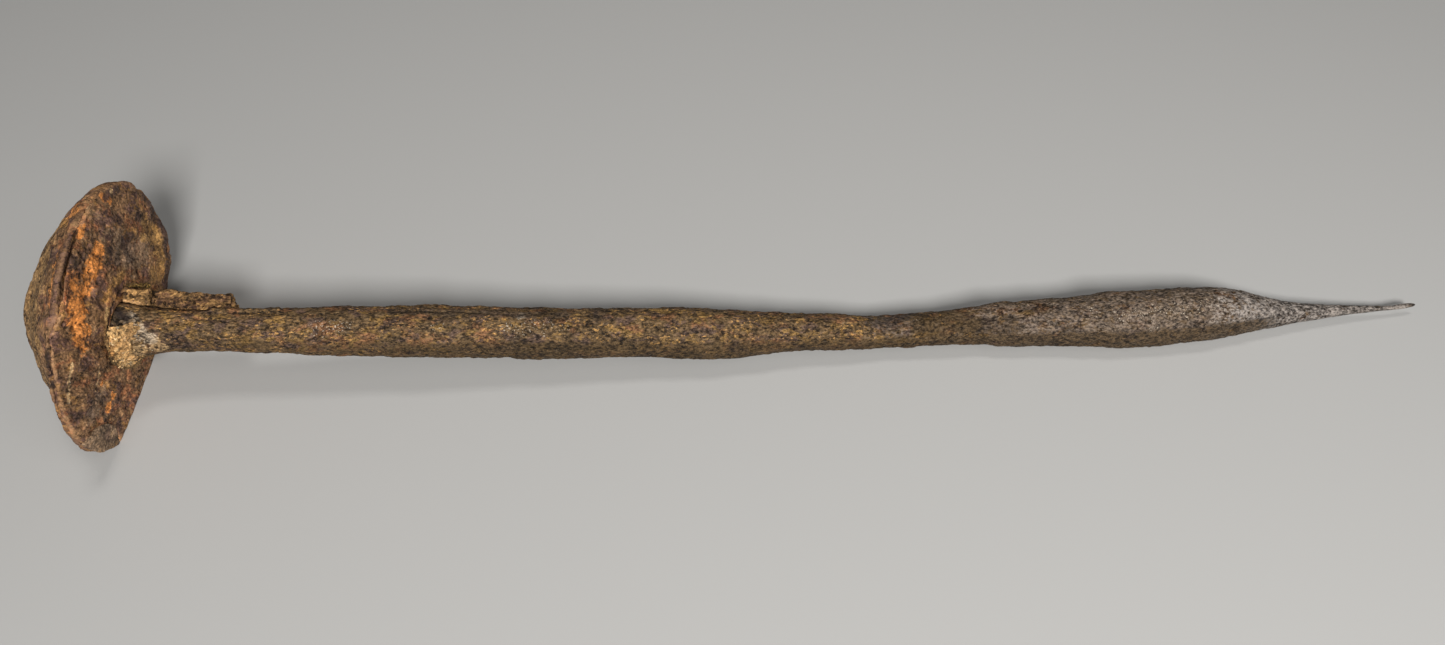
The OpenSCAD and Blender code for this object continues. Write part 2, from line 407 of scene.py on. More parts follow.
# The crack along the near rim, which leaves the seam and runs on in the face
RIM_CRACK = head_path(
    (48, 94, 0.7), (48, 102, 1), (48, 113, 1.1), (47.7, 121, 1.7), (46.4, 126, 1.9),
    (45.5, 129, 2), (44, 133, 2.1), (42.5, 137, 2.2))
# The open part of the seam farther down
LOWER_SEAM = head_path((47.8, 140, -1.6), (48, 145, -1), (48, 151, -0.5), (48, 165, -0.4))
# The gap in the face around the root
ROOT_CRACK = head_path((10.8, 55), (11, 85), (11.6, 112), (12.2, 134), (14.2, 152))


# --- Finishes -------------------------------------------------------------------------------

class Value:
    """A socket of a finish that arithmetic works on: each operator adds a Math node."""

    def __init__(self, finish, socket):
        self.finish = finish
        self.socket = socket

    def math(self, operation, *others):
        inputs = dict(enumerate((self, *others)))
        return self.finish.node("ShaderNodeMath", {"operation": operation}, inputs)

    def __add__(self, other):
        return self.math("ADD", other)

    def __rsub__(self, other):
        return (-1 * self) + other

    def __sub__(self, other):
        return self.math("SUBTRACT", other)

    def __mul__(self, other):
        return self.math("MULTIPLY", other)

    __radd__ = __add__
    __rmul__ = __mul__

    def ease(self, low, high):
        """0 at low, 1 at high, and a smooth rise between them."""
        settings = {"interpolation_type": "SMOOTHSTEP"}
        inputs = {0: self, 1: low, 2: high}
        return self.finish.node("ShaderNodeMapRange", settings, inputs)

    def clip(self):
        return self.math("MINIMUM", 1).math("MAXIMUM", 0)


class Finish:
    """A material whose nodes are added one after another."""

    def __init__(self, name):
        self.material = bpy.data.materials.new(name)
        self.material.use_nodes = True
        self.tree = self.material.node_tree
        self.shader = self.tree.nodes["Principled BSDF"]
        self.place = self.node("ShaderNodeTexCoord", output="Object")

    def node(self, kind, settings=None, inputs=None, output=0):
        """Adds a node: its settings first, then its sockets from values or links."""
        made = self.tree.nodes.new(kind)
        for key, value in (settings or {}).items():
            if key == "stops":
                set_stops(made.color_ramp, value)
            else:
                setattr(made, key, value)
        for key, value in (inputs or {}).items():
            self.feed(made.inputs[key], value)
        return Value(self, made.outputs[output])

    def feed(self, socket, value):
        if isinstance(value, Value):
            self.tree.links.new(value.socket, socket)
        else:
            socket.default_value = value

    def grain(self, stretch=(1, 1, 1), turn=0.0, seed=0):
        """Places for a pattern that is drawn out by those factors, and turned about X."""
        inputs = {"Vector": self.place, "Rotation": (turn, 0, 0), "Scale": stretch,
                  "Location": start_of(seed)}
        return self.node("ShaderNodeMapping", {"vector_type": "TEXTURE"}, inputs)

    def noise(self, place, size, detail=3.0, roughness=0.55):
        """Noise from 0 to 1 with features of that size in millimetres."""
        inputs = {"Vector": place, "Scale": 1 / (size * MM), "Detail": detail,
                  "Roughness": roughness}
        return self.node("ShaderNodeTexNoise", None, inputs)

    def cells(self, place, size, output="Distance"):
        """Distance from the middles of scattered cells, or each cell's own colour."""
        inputs = {"Vector": place, "Scale": 1 / (size * MM)}
        return self.node("ShaderNodeTexVoronoi", None, inputs, output)

    def channel(self, colour, name):
        return self.node("ShaderNodeSeparateColor", None, {0: colour}, name)

    def attribute(self, name):
        return self.node("ShaderNodeAttribute", {"attribute_name": name}, output="Fac")

    def ramp(self, value, stops):
        stops = [(at, (*colour, 1)) for at, colour in stops]
        return self.node("ShaderNodeValToRGB", {"stops": stops}, {0: value})

    def mix(self, factor, a, b, blend="MIX"):
        """Colour a, going over to colour b as the factor goes from 0 to 1."""
        settings = {"data_type": "RGBA", "blend_type": blend}
        a, b = ((*c, 1) if isinstance(c, tuple) else c for c in (a, b))
        return self.node("ShaderNodeMix", settings, {0: factor, 6: a, 7: b}, 2)

    def done(self, colour, roughness, bumps):
        """Joins the colour, the roughness and the bumps, each (height, millimetres)."""
        self.feed(self.shader.inputs["Base Color"], colour)
        self.feed(self.shader.inputs["Roughness"], roughness)
        self.shader.inputs["Specular IOR Level"].default_value = 0.3
        normal = None
        for height, depth in bumps:
            inputs = {"Height": height, "Distance": depth * MM, "Strength": 1.0}
            if normal:
                inputs["Normal"] = normal
            normal = self.node("ShaderNodeBump", None, inputs)
        self.feed(self.shader.inputs["Normal"], normal)
        return self.material


# Tones of the grain, from dark to pale, as shares of its hue before TONE_GAIN scales them
TONES = ((0.28, 0.05), (0.4, 0.24), (0.5, 0.42), (0.58, 0.62), (0.66, 0.9))
TONE_GAIN = 2.3
# Colour of the painted glints
PAINTED_GLINT = (0.6, 0.5, 0.38)
CRACK_SHADE = (0.02, 0.012, 0.01)


def rusted(name, hue, hues=(), stains=(), stretch=(1, 1, 1), turn=0.0, size=0.9,
           fleck=None, fleck_share=1.0, contrast=1.0, blotch=0.8, gloss=0.35, bump=0.7):
    """Rusted iron.

    Its hue goes over to other hues in patches, and in the stains whose masks the piece keeps as
    attributes. Its grain and blotches go from dark to pale. Shade is painted into its pits and
    cracks, a highlight onto its ridges, and glints as pale specks.
    Each of the hues is (colour, reach in millimetres, low, high), where it starts at the noise
    level low and is full at high. Each of the stains is (attribute, colour, strength).
    """
    f = Finish(name)
    grain = f.grain(stretch, turn)
    fine = f.noise(grain, size, 4, 0.7)
    patchy = f.noise(grain, 4 * size, 3, 0.6)
    broad = f.noise(f.grain(stretch, turn, 1), 15 * size, 2)
    colour = tuple(hue)
    for number, (tint, reach, low, high) in enumerate(hues):
        share = f.noise(f.grain(stretch, turn, number + 2), reach, 4, 0.65)
        colour = f.mix(share.ease(low, high), colour, tint)
    if fleck:
        flecks = f.noise(f.grain(stretch, turn, 9), 1.2 * size, 3, 0.6).ease(0.56, 0.62)
        crowd = f.noise(f.grain(stretch, turn, 10), 9 * size, 2).ease(0.42, 0.58)
        colour = f.mix((flecks * crowd * fleck_share).clip(), colour, fleck)
    edge = (0.5 + 2.0 * (0.5 - patchy) + 1.1 * (0.5 - fine)).math("MAXIMUM", 0.1)
    for attribute, tint, strength in stains:
        share = (f.attribute(attribute) - edge).ease(-0.05, 0.5)
        colour = f.mix(share * strength, colour, tint)
    grains = f.cells(grain, size)
    grain_tint = f.channel(f.cells(grain, size, "Color"), "Red")
    level = 0.5 + contrast * ((1.2 - 0.65 * blotch) * (fine - 0.5) + 0.16 * (grain_tint - 0.5)
                              + blotch * (patchy - 0.5 + 0.5 * (broad - 0.5)))
    tone = f.ramp(level, [(at, (v, v, v)) for at, v in TONES])
    toned = f.mix(1.0, colour, tone, "MULTIPLY")
    colour = f.mix(1.0, toned, (TONE_GAIN, TONE_GAIN, TONE_GAIN), "MULTIPLY")
    fine_height = f.attribute("fine_height")
    broad_height = f.attribute("broad_height")
    # Painted shade: pits, measured against their smoothed surroundings, are darkened towards a
    # deep copy of the hue
    pit_shade = (fine_height.ease(-0.04, -0.16) + 0.8 * broad_height.ease(-0.15, -0.7)).clip()
    colour = f.mix(pit_shade * 0.85, colour, tuple(0.12 * c for c in hue))
    # Painted highlight: ridges are lightened towards a pale copy of the hue
    ridge_highlight = fine_height.ease(0.03, 0.14)
    colour = f.mix(ridge_highlight * 0.4, colour, tuple(min(1.7 * c, 1) for c in hue))
    # Painted glints: sparse pale specks stand in for light glancing off glossy grains, and a
    # piece's pale mask makes them crowd
    glints = (f.noise(f.grain(seed=11), 0.55, 1) + 0.16 * f.attribute("pale")).ease(0.78, 0.84)
    colour = f.mix(glints * 0.8, colour, PAINTED_GLINT)
    # Painted shade in the cracks, standing in for the shadow inside them
    colour = f.mix(f.attribute("crack") * 0.9, colour, CRACK_SHADE)
    roughness = (0.85 - gloss * fine.ease(0.45, 0.62)).clip()
    flakes = f.noise(f.grain(stretch, turn, 13), 3.2 * size, 3).ease(0.47, 0.54)
    bumps = [(flakes, 0.25), (fine, 0.6 * bump), (-1 * grains, 0.4 * bump)]
    return f.done(colour, roughness, bumps)


# --- Pieces ---------------------------------------------------------------------------------

class DRIFT_PG_finish(bpy.types.PropertyGroup):
    """Depths of the rust's relief and the iron's main colours."""

    grit: FloatProperty(
        name="Grit", description="Depth of the fine grit", default=0.8 * MM, unit="LENGTH")
    pits: FloatProperty(
        name="Pits", description="Depth of the pits", default=0.45 * MM, unit="LENGTH")
    waves: FloatProperty(
        name="Waves", description="Depth of the broad unevenness", default=1.7 * MM,
        unit="LENGTH")
    bar_colour: FloatVectorProperty(
        name="Bar", description="Main colour of the bar", default=(0.11, 0.067, 0.03),
        subtype="COLOR", min=0, max=1)
    head_colour: FloatVectorProperty(
        name="Head", description="Main colour of the head", default=(0.22, 0.118, 0.055),
        subtype="COLOR", min=0, max=1)
    gold: FloatVectorProperty(
        name="Gold", description="Colour of the bar's flecks", default=(0.45, 0.24, 0.072),
        subtype="COLOR", min=0, max=1)


class DRIFT_PG_stage(bpy.types.PropertyGroup):
    """The floor, the lights and the camera."""

    floor_colour: FloatVectorProperty(
        name="Floor", description="Colour of the floor", default=(0.48, 0.47, 0.45),
        subtype="COLOR", min=0, max=1)
    daylight: FloatProperty(
        name="Daylight", description="Strength of the even light from all sides", default=0.045)
    key_power: FloatProperty(
        name="Key light", description="Power of the main lamp", default=17.2, unit="POWER")
    lens: FloatProperty(
        name="Lens", description="Focal length of the camera, in millimetres", default=27.06)


class DRIFT_OT_shank(bpy.types.Operator):
    """Draws the bar out ring by ring, from its peened end to its tip, and rusts it"""

    bl_idname = "drift.shank"
    bl_label = "Shank"

    def execute(self, context):
        look = context.scene.drift_finish
        piece = self.draw_out()
        apply_modifier(piece, "SUBSURF", levels=3, render_levels=3)
        self.roughen(piece, look)
        self.stain(piece)
        finish = rusted(
            "bar_iron", tuple(look.bar_colour),
            hues=(((0.172, 0.08, 0.034), 6, 0.52, 0.62), ((0.092, 0.055, 0.037), 5, 0.5, 0.6),
                  ((0.185, 0.105, 0.032), 4, 0.54, 0.62)),
            stains=(("far", (0.13, 0.098, 0.074), 0.85), ("tip", (0.2, 0.172, 0.15), 0.9),
                    ("tan", (0.42, 0.27, 0.13), 0.85), ("grey", (0.3, 0.26, 0.21), 0.6),
                    ("dark", (0.05, 0.033, 0.02), 0.8), ("smooth", (0.062, 0.046, 0.036), 0.8),
                    # shade is painted shade on the bar's low and top sides, and it also darkens
                    # the bend
                    ("shade", (0.052, 0.031, 0.012), 0.85)),
            stretch=(1.6, 1, 1), size=0.8, fleck=tuple(look.gold), fleck_share=0.75,
            contrast=1.25, blotch=0.4)
        hand_over(piece, "shank", finish)
        return {"FINISHED"}

    def roughen(self, piece, look):
        """Waves, furrows, pits, plates, grit and cracks. The neck stays smooth."""
        places = points(piece)
        s, _ = bar_distance(places)
        shown = ease(1.5, 5, s) + ease(-21, -23, s)
        full = shown * (1 - 0.75 * ease(425, 470, s))
        lip = bar_path((35, 55), (48, 57), (57, 60))
        shift(piece, 1.0 * ease(2.2, 0.6, distance_to(places, lip)))
        corner = spots(places, [
            (bar_path((4, 100), (9, 98)), 5), (bar_path((9, 120), (11, 150)), 4)])
        hollow = spots(places, [(bar_path((4, 90), (7, 112)), 4.5)])
        neck = spots(places, [(on_bar(282, 100), 9)])
        worn = full * (1 - neck)
        relief(piece, look.waves / MM, 16, full, (2, 1, 1), seed=1)
        relief(piece, 0.85, 6, worn, (1.8, 1, 1), seed=2, noise_depth=2)
        relief(piece, 2.6, 3, corner, seed=6, noise_depth=2)
        relief(piece, 2.2, 2.8, hollow, seed=8, level=1, kind="VORONOI",
               stops=[(0.12, 0), (0.4, 1)])
        relief(piece, look.pits / MM, 3.4, worn * ease(-0.1, 0.3, mottle(places, 14, 3)),
               seed=3, level=1, kind="VORONOI", stops=[(0.1, 0), (0.42, 1)])
        relief(piece, 0.35, 5, worn, (2, 1, 1), seed=7, noise_depth=3,
               stops=[(0.42, 0), (0.46, 0.5), (0.54, 0.5), (0.58, 1)])
        relief(piece, look.grit / MM, 1.7, full * (1 - 0.8 * neck), (1.6, 1, 1), seed=4,
               noise_depth=2)
        for path in (bar_path((100, 79), (118, 76), (134, 81), (150, 79)),
                     bar_path((37, 66), (46, 68), (60, 67)),
                     bar_path((136, 160), (147, 166), (160, 172))):
            crack(piece, path, 0.8, 0.6, seed=5)

    def stain(self, piece):
        """Keeps where the bar is stained, where shade is painted on its low and top sides, and
        where shade is painted into its cracks; the shade mask also darkens its bend.
        """
        places = points(piece)
        s, _ = bar_distance(places)
        keep(piece, "far", ease(205, 385, s + 30 * mottle(places, 30, 6)))
        keep(piece, "tip", ease(375, 445, s + 10 * mottle(places, 12, 7)))
        # Painted shade: the bar's low side, and more weakly its top, are darkened by how far they
        # turn from the side that faces the camera and the key lamp; the same mask darkens a patch
        # at the bend
        beside = FRONT_ANGLE - angle_round_bar(places)
        low = np.maximum(0.4 * ease(30, 65, beside), ease(-12, -42, beside))
        bend = spots(places, [(bar_path((296, 110), (312, 112)), 10)])
        along = ease(0, 4, s) * (0.55 + 0.45 * ease(50, 120, s)) * ease(450, 425, s)
        keep(piece, "shade", np.maximum(low, bend) * along)
        keep_stains(
            piece, places,
            smooth=[(bar_path((277, 90), (290, 86)), 8)],
            grey=[(bar_path((9, 105), (11, 128), (13, 150)), 5.5), (on_bar(144, 84), 3)],
            dark=[
                (bar_path((98, 79), (160, 79)), 3), (on_bar(143, 160), 6), (on_bar(157, 174), 6),
                (on_bar(118, 100), 5), (on_bar(172, 84), 6), (bar_path((4, 88), (7, 112)), 5.5),
                (bar_path((316, 128), (330, 140)), 6),
                # The dark along the groove at the root is painted shade, standing in for the
                # shadow in the gap against the face
                (bar_path((2, 60), (2, 110), (2, 150)), 3), (on_bar(501, 100), 4.5)],
            tan=[
                (bar_path((2, 135), (8, 165), (12, 172), (18, 178)), 5),
                (bar_path((2, 185), (10, 190)), 5), (bar_path((9, 115), (12, 150)), 6.5)],
            # On the bar, pale only makes the painted glints crowd, mostly along the mid-height
            # where the key lamp's highlight lies
            pale=[
                (bar_path((70, 124), (82, 122)), 5), (on_bar(114, 119), 4),
                (bar_path((139, 118), (158, 116)), 5), (on_bar(294, 95), 2.5),
                (on_bar(362, 108), 5), (on_bar(384, 145), 4), (on_bar(14, 182), 3),
                (bar_path((370, 122), (415, 108)), 5)])
        keep_cracks(piece, bar_path((1.2, 50), (1.2, 90), (1.2, 130), (1.2, 160)),
                    bar_path((4, 80), (6, 95), (7.5, 100)), width=1.3)

    def draw_out(self):
        """A cage of rings, each drawn out of the one before and sized in its place."""
        at = [s for s, _, _ in TENON]
        steps = round((BAR[-1][0] - BAR[0][0]) / RING_STEP)
        at += [BAR[0][0] + k / steps * (BAR[-1][0] - BAR[0][0]) for k in range(steps + 1)]
        middle, radius = bar_station(at[0])
        bpy.ops.object.select_all(action="DESELECT")
        bpy.ops.mesh.primitive_circle_add(
            vertices=RING_SIDES, radius=radius / RING_SHRINK * MM, fill_type="NGON",
            location=middle * MM, rotation=(0, math.pi / 2, 0))
        piece = bpy.context.active_object
        piece.name = piece.data.name = "bar"
        bpy.ops.object.transform_apply(location=True, rotation=True, scale=True)
        bpy.ops.object.mode_set(mode="EDIT")
        bpy.ops.mesh.select_all(action="SELECT")
        for s in at[1:]:
            here, size = bar_station(s)
            bpy.ops.mesh.extrude_region_move(
                TRANSFORM_OT_translate={"value": (here - middle) * MM})
            grow = size / radius
            bpy.ops.transform.resize(value=(1, grow, grow), center_override=here * MM)
            middle, radius = here, size
        bpy.ops.mesh.select_all(action="SELECT")
        bpy.ops.mesh.normals_make_consistent(inside=False)
        bpy.ops.object.mode_set(mode="OBJECT")
        return piece


def seam_course(r, angle):
    """How far the seam between the head's layers wanders from the rim's middle plane."""
    at = [0, 40, 80, 94, 105, 121, 129, 137, 145, 151, 170, 190, 230, 280, 320, 360]
    off = [0.3, -0.5, 0.2, 0.9, 1.1, 1.3, 1.4, -1.4, -1.0, -0.4, -0.4, 0.2, 0, 0.5, -0.4, 0.3]
    return np.interp(angle, at, off) * ease(33, 46, r)


def seam_opening(angle):
    """Half the seam's opening at the rim."""
    at = [0, 20, 50, 92, 97, 106, 114, 124, 130, 137, 141, 150, 162, 176, 290, 310, 330]
    half = [-0.3, -0.2, -0.4, -0.3, 0.5, 0.6, 0.55, 0.2, -0.3, -0.3, 0.3, 0.4, 0.25, -0.4, -0.4,
            -0.3, -0.4]
    return np.interp(angle, at, half)


def bend_seam(piece, side):
    """Makes the seam wander and opens or closes it, on the crown (side -1) or the face (1)."""
    _, r, angle = head_places(points(piece))
    shift(piece, seam_course(r, angle), "X")
    x, r, angle = head_places(points(piece))
    out = np.clip((r - SEAM_FLAT_R) / (HEAD_R - SEAM_FLAT_R), 0, 1)
    depth = np.abs(x - seam_course(r, angle) - side * SEAM_OPEN * out)
    shift(piece, side * (seam_opening(angle) - SEAM_OPEN) * out * (1 - ease(0, 1.0, depth)), "X")


def head_skin(piece, side):
    """1 on the outside of a layer of the head, 0 in its seam, in its holes and on the floor."""
    places = points(piece)
    x, r, _ = head_places(places)
    seam = np.interp(r, [0, SEAM_FLAT_R, HEAD_R], [-SEAM_DISH, 0, 0])
    skin = np.maximum(ease(0.3, 2.2, side * (x - seam)), ease(45.5, 47.3, r))
    _, from_bar = bar_distance(places)
    return skin * ease(11.2, 12.4, from_bar) * ease(0.1, 2, places[:, 2])


def laminate(piece, skin, seed):
    """The layered, furrowed, pitted and gritty surface of the head's old iron."""
    places = points(piece)
    _, r, angle = head_places(places)
    wasted = ease(24, 42, r) * ease(60, 95, angle) * ease(215, 165, angle)
    relief(piece, 2.0, 16, skin, (1, 1.4, 1), GRAIN_TURN, seed)
    relief(piece, 1.4, 6, skin * (0.5 + 0.5 * wasted), (1, 1, 1.5), GRAIN_TURN, seed + 1,
           noise_depth=1)
    relief(piece, 0.5, 9, skin * ease(47.5, 44, r), (0.8, 1, 1.3), GRAIN_TURN, seed + 2,
           noise_depth=3, stops=[(0.43, 0), (0.46, 0.5), (0.54, 0.5), (0.57, 1)])
    relief(piece, 0.7, 4.5, skin * ease(0, 0.3, mottle(places, 11, seed + 5)), (1, 1, 1.4),
           GRAIN_TURN, seed + 5, level=0.3, kind="VORONOI", stops=[(0, 1), (0.3, 0.7), (0.6, 0)])
    relief(piece, 0.8, 3.4, skin * ease(0.1, 0.4, mottle(places, 11, seed)), (1, 1, 1.4),
           GRAIN_TURN, seed + 3, level=1, kind="VORONOI", stops=[(0.1, 0), (0.45, 1)])
    relief(piece, 0.45, 1.4, skin, (1, 1, 1.6), GRAIN_TURN, seed + 4, noise_depth=2)


class DRIFT_OT_head_crown(bpy.types.Operator):
    """Dresses the crown, the domed outer layer of the head"""

    bl_idname = "drift.head_crown"
    bl_label = "Head crown"

    def execute(self, context):
        piece = copy_of("head_crown", "crown")
        apply_modifier(piece, "REMESH", mode="VOXEL", voxel_size=0.55 * MM)
        bend_seam(piece, -1)
        skin = head_skin(piece, -1)
        x, r, angle = head_places(points(piece))
        # The near flank is wasted, most of all low down
        beside = r * np.cos(np.radians(angle))
        wasted = 2.2 * ease(2, -8, beside) * ease(11, 17, r) + 3.6 * ease(-27, -42, beside)
        shift(piece, wasted * ease(-1, -5.5, x), "X")
        laminate(piece, skin * (1 - 0.35 * ease(-4, -8, x)), 11)
        hollow = head_path((46.8, 97, -2.2), (46.6, 102, -3), (46.6, 108, -3.2))
        shift(piece, -1.3 * spots(points(piece), [(hollow, 2.0)], 0.2))
        crack(piece, head_path((45.6, 108, -4.2), (45.3, 118, -4.6), (45, 127, -4.4)), 0.8, 0.7, 2)
        crack(piece, head_path((47.6, 134, -2.4), (47.6, 145, -3.0), (47, 158, -2.6)), 0.7, 0.6, 3)
        places = points(piece)
        x, _, _ = head_places(places)
        keep(piece, "flank", ease(-4, -13, x + 2.5 * mottle(places, 6, 4)))
        lip = head_path((48, 97, -0.4), (48, 113, 0), (48, 128, 0))
        keep_stains(
            piece, places,
            orange=[(head_path((47, 100, -3.4), (47, 125, -4)), 5), (on_head(46, 80, -4), 6)],
            # The dark along lip is painted shade, standing in for the shadow in the open seam
            dark=[(hollow, 3), (lip, 2.2), (on_head(47.5, 150, -1.5), 4)])
        keep_cracks(piece, RIM_CRACK[:4], LOWER_SEAM)
        finish = rusted(
            "crown_iron", tuple(context.scene.drift_finish.head_colour),
            hues=(((0.28, 0.115, 0.05), 6, 0.5, 0.6), ((0.14, 0.072, 0.05), 7, 0.5, 0.6),
                  ((0.34, 0.17, 0.055), 6, 0.56, 0.64)),
            stains=(("flank", (0.33, 0.19, 0.078), 1.0), ("orange", (0.5, 0.2, 0.055), 0.9),
                    ("dark", (0.085, 0.045, 0.036), 0.85)),
            stretch=(1, 1, 1.5), turn=GRAIN_TURN, fleck=(0.36, 0.22, 0.09), fleck_share=0.6,
            contrast=0.85, bump=0.6)
        hand_over(piece, "head_crown", finish)
        return {"FINISHED"}


class DRIFT_OT_head_face(bpy.types.Operator):
    """Dresses the inner layer of the head, with the bearing face"""

    bl_idname = "drift.head_face"
    bl_label = "Head face"

    def execute(self, context):
        piece = copy_of("head_face", "face")
        apply_modifier(piece, "REMESH", mode="VOXEL", voxel_size=0.5 * MM)
        bend_seam(piece, 1)
        skin = head_skin(piece, 1)
        laminate(piece, skin, 21)
        # The far rim bulges a little
        far_rim = head_path((46, 342, 1.5), (46, 352, 1.5))
        shift(piece, 1.7 * ease(12, 2, distance_to(points(piece), far_rim)), "X")
        blotch = head_path((45.5, 106), (41.5, 99), (40, 104))
        torn = head_path((36, 98), (33, 118), (31, 145))
        places = points(piece)
        relief(piece, 1.6, 2.4, spots(places, [(blotch, 5)]), seed=31, level=1, kind="VORONOI",
               stops=[(0.1, 0), (0.5, 1)])
        relief(piece, 1.4, 2.6, spots(places, [(torn, 9)]), seed=32, noise_depth=2)
        arc = head_path((46.5, 190, 2), (43.2, 195), (40.8, 201), (39, 209), (38.4, 220))
        crack(piece, head_path((32.5, 151), (31.5, 155), (29.3, 158)), 0.7, 0.8, 1)
        crack(piece, arc, 0.7, 0.9, 2)
        crack(piece, head_path((40, 153), (42, 158), (45.4, 167, 2)), 0.6, 0.3, 3)
        crack(piece, ROOT_CRACK, 1.0, 2.0, 4)
        crack(piece, RIM_CRACK, 0.9, 1.8, 6)
        keep_cracks(piece, RIM_CRACK, LOWER_SEAM, ROOT_CRACK, arc)
        self.stain(piece, blotch)
        # Painted light: the face takes the head's colour made 1.45 times lighter, standing in for
        # light that the lamps here give it only at a grazing angle
        tone = tuple(1.45 * c for c in context.scene.drift_finish.head_colour)
        finish = rusted(
            "face_iron", tone,
            hues=(((0.33, 0.13, 0.055), 6, 0.5, 0.6), ((0.16, 0.082, 0.058), 7, 0.5, 0.6),
                  ((0.38, 0.19, 0.06), 6, 0.56, 0.64), ((0.26, 0.165, 0.09), 9, 0.6, 0.7)),
            stains=(("grey", (0.3, 0.2, 0.125), 0.6), ("orange", (0.66, 0.24, 0.055), 0.95),
                    ("ochre", (0.38, 0.205, 0.06), 0.7), ("tan", (0.5, 0.31, 0.13), 0.8),
                    ("dark", (0.075, 0.042, 0.032), 0.9), ("pale", (0.66, 0.42, 0.2), 0.85)),
            stretch=(1, 1, 1.9), turn=GRAIN_TURN, fleck=(0.42, 0.22, 0.08), fleck_share=0.6,
            contrast=0.8, bump=0.6)
        hand_over(piece, "head_face", finish)
        return {"FINISHED"}

    def stain(self, piece, blotch):
        """Keeps where the face is stained, and where shade is painted along its cracks; blotch is
        the path of its pitted dark patch.
        """
        keep_stains(
            piece, points(piece),
            orange=[
                (head_path((33, 91), (34, 104), (36, 118), (35, 132), (32, 141)), 8.5),
                (head_path((42.5, 114), (40, 126)), 7.5), (head_path((47.5, 91), (47.5, 96)), 2),
                (head_path((47, 68), (44.5, 63)), 3), (on_head(31, 148), 3),
                (on_head(27.9, 212), 3), (on_head(32.4, 210), 3), (on_head(26, 190), 2.5)],
            ochre=[
                (head_path((37, 15), (39, 4), (38, 345), (38, 336)), 7), (on_head(30, 342), 6),
                (on_head(34, 17), 5), (head_path((16, 60), (17, 85)), 4)],
            grey=[
                (head_path((26, 60), (22, 30), (28, 10)), 11),
                (head_path((30, 195), (38, 190)), 7)],
            dark=[
                (blotch, 5), (head_path((46.5, 22, 2), (45.5, 0, 2), (44, 330, 2)), 4),
                (on_head(34.5, 148), 2.5), (head_path((29.5, 35), (27, 48)), 4),
                (on_head(29, 75), 4), (head_path((46, 50), (46, 66)), 3), (on_head(22, 112), 5),
                # The dark along ROOT_CRACK and RIM_CRACK is painted shade, standing in for the
                # shadow in those gaps
                (ROOT_CRACK, 2.2), (RIM_CRACK, 1.5)],
            # pale marks pale streaks of the iron's own colour, and also makes the painted glints
            # crowd there
            pale=[
                (head_path((40.2, 152), (42.2, 158), (45.4, 167, 2)), 1.6),
                (head_path((25, 174), (27.6, 181), (30, 186)), 1.8), (on_head(46, 59, 2), 2),
                (on_head(38, 90), 2), (on_head(40, 345), 2)],
            tan=[(head_path((15, 125), (15, 160), (15, 190)), 3)])


class DRIFT_OT_rim_spall(bpy.types.Operator):
    """Dresses the smoother cap that has come loose at the lower end of the rim"""

    bl_idname = "drift.rim_spall"
    bl_label = "Rim spall"

    def execute(self, context):
        piece = copy_of("rim_spall", "spall")
        apply_modifier(piece, "REMESH", mode="VOXEL", voxel_size=0.3 * MM)
        _, r, angle = head_places(points(piece))
        shift(piece, seam_course(r, angle), "X")
        places = points(piece)
        x, _, _ = head_places(places)
        skin = ease(0.6, 1.4, x) * ease(0.1, 2, places[:, 2])
        relief(piece, 1.2, 6, skin, seed=41)
        relief(piece, 0.5, 1.6, skin, seed=42, noise_depth=2)
        finish = rusted(
            "spall_iron", (0.29, 0.185, 0.108),
            hues=(((0.16, 0.095, 0.06), 5, 0.48, 0.6), ((0.3, 0.17, 0.07), 4, 0.56, 0.66)),
            stretch=(1, 1, 1.6), turn=GRAIN_TURN, contrast=0.8, bump=0.5)
        hand_over(piece, "rim_spall", finish)
        return {"FINISHED"}


class DRIFT_OT_scale(bpy.types.Operator):
    """Dresses the block and the strip of scale on the root"""

    bl_idname = "drift.scale"
    bl_label = "Scale"

    def execute(self, context):
        finish = rusted(
            "scale", (0.235, 0.13, 0.048),
            hues=(((0.12, 0.062, 0.03), 3.5, 0.44, 0.54), ((0.36, 0.2, 0.07), 3, 0.54, 0.64)),
            stains=(("dark", (0.045, 0.022, 0.012), 1.0), ("copper", (0.5, 0.29, 0.13), 0.7)),
            stretch=(1.6, 1, 1), size=0.8, fleck=(0.5, 0.28, 0.1), fleck_share=0.7,
            contrast=1.15, bump=1.0)
        for node, name, seed in (("scale_block", "block", 51), ("scale_strip", "strip", 61)):
            piece = copy_of(node, name)
            apply_modifier(piece, "REMESH", mode="VOXEL", voxel_size=0.28 * MM)
            relief(piece, 1.8, 6, stretch=(1.8, 1, 1), seed=seed)
            relief(piece, 1.5, 2.6, stretch=(2, 1, 0.7), seed=seed + 1, noise_depth=2)
            relief(piece, 1.2, 2.4, seed=seed + 4, level=1, kind="VORONOI",
                   stops=[(0.12, 0), (0.3, 1)])
            relief(piece, 0.5, 3, stretch=(2, 1, 0.7), seed=seed + 2, noise_depth=2,
                   stops=[(0.44, 0), (0.47, 0.5), (0.55, 0.5), (0.58, 1)])
            relief(piece, 0.4, 0.9, seed=seed + 3, noise_depth=2)
            keep_stains(
                piece, points(piece),
                dark=[
                    (bar_path((37, 20), (40, 40)), 4), (on_bar(17, 44), 4), (on_bar(4, 40), 4),
                    (on_bar(34, 44), 3), (on_bar(27, 40), 3)],
                copper=[(bar_path((5, 58), (11, 53)), 3)])
            hand_over(piece, node, finish)
        return {"FINISHED"}


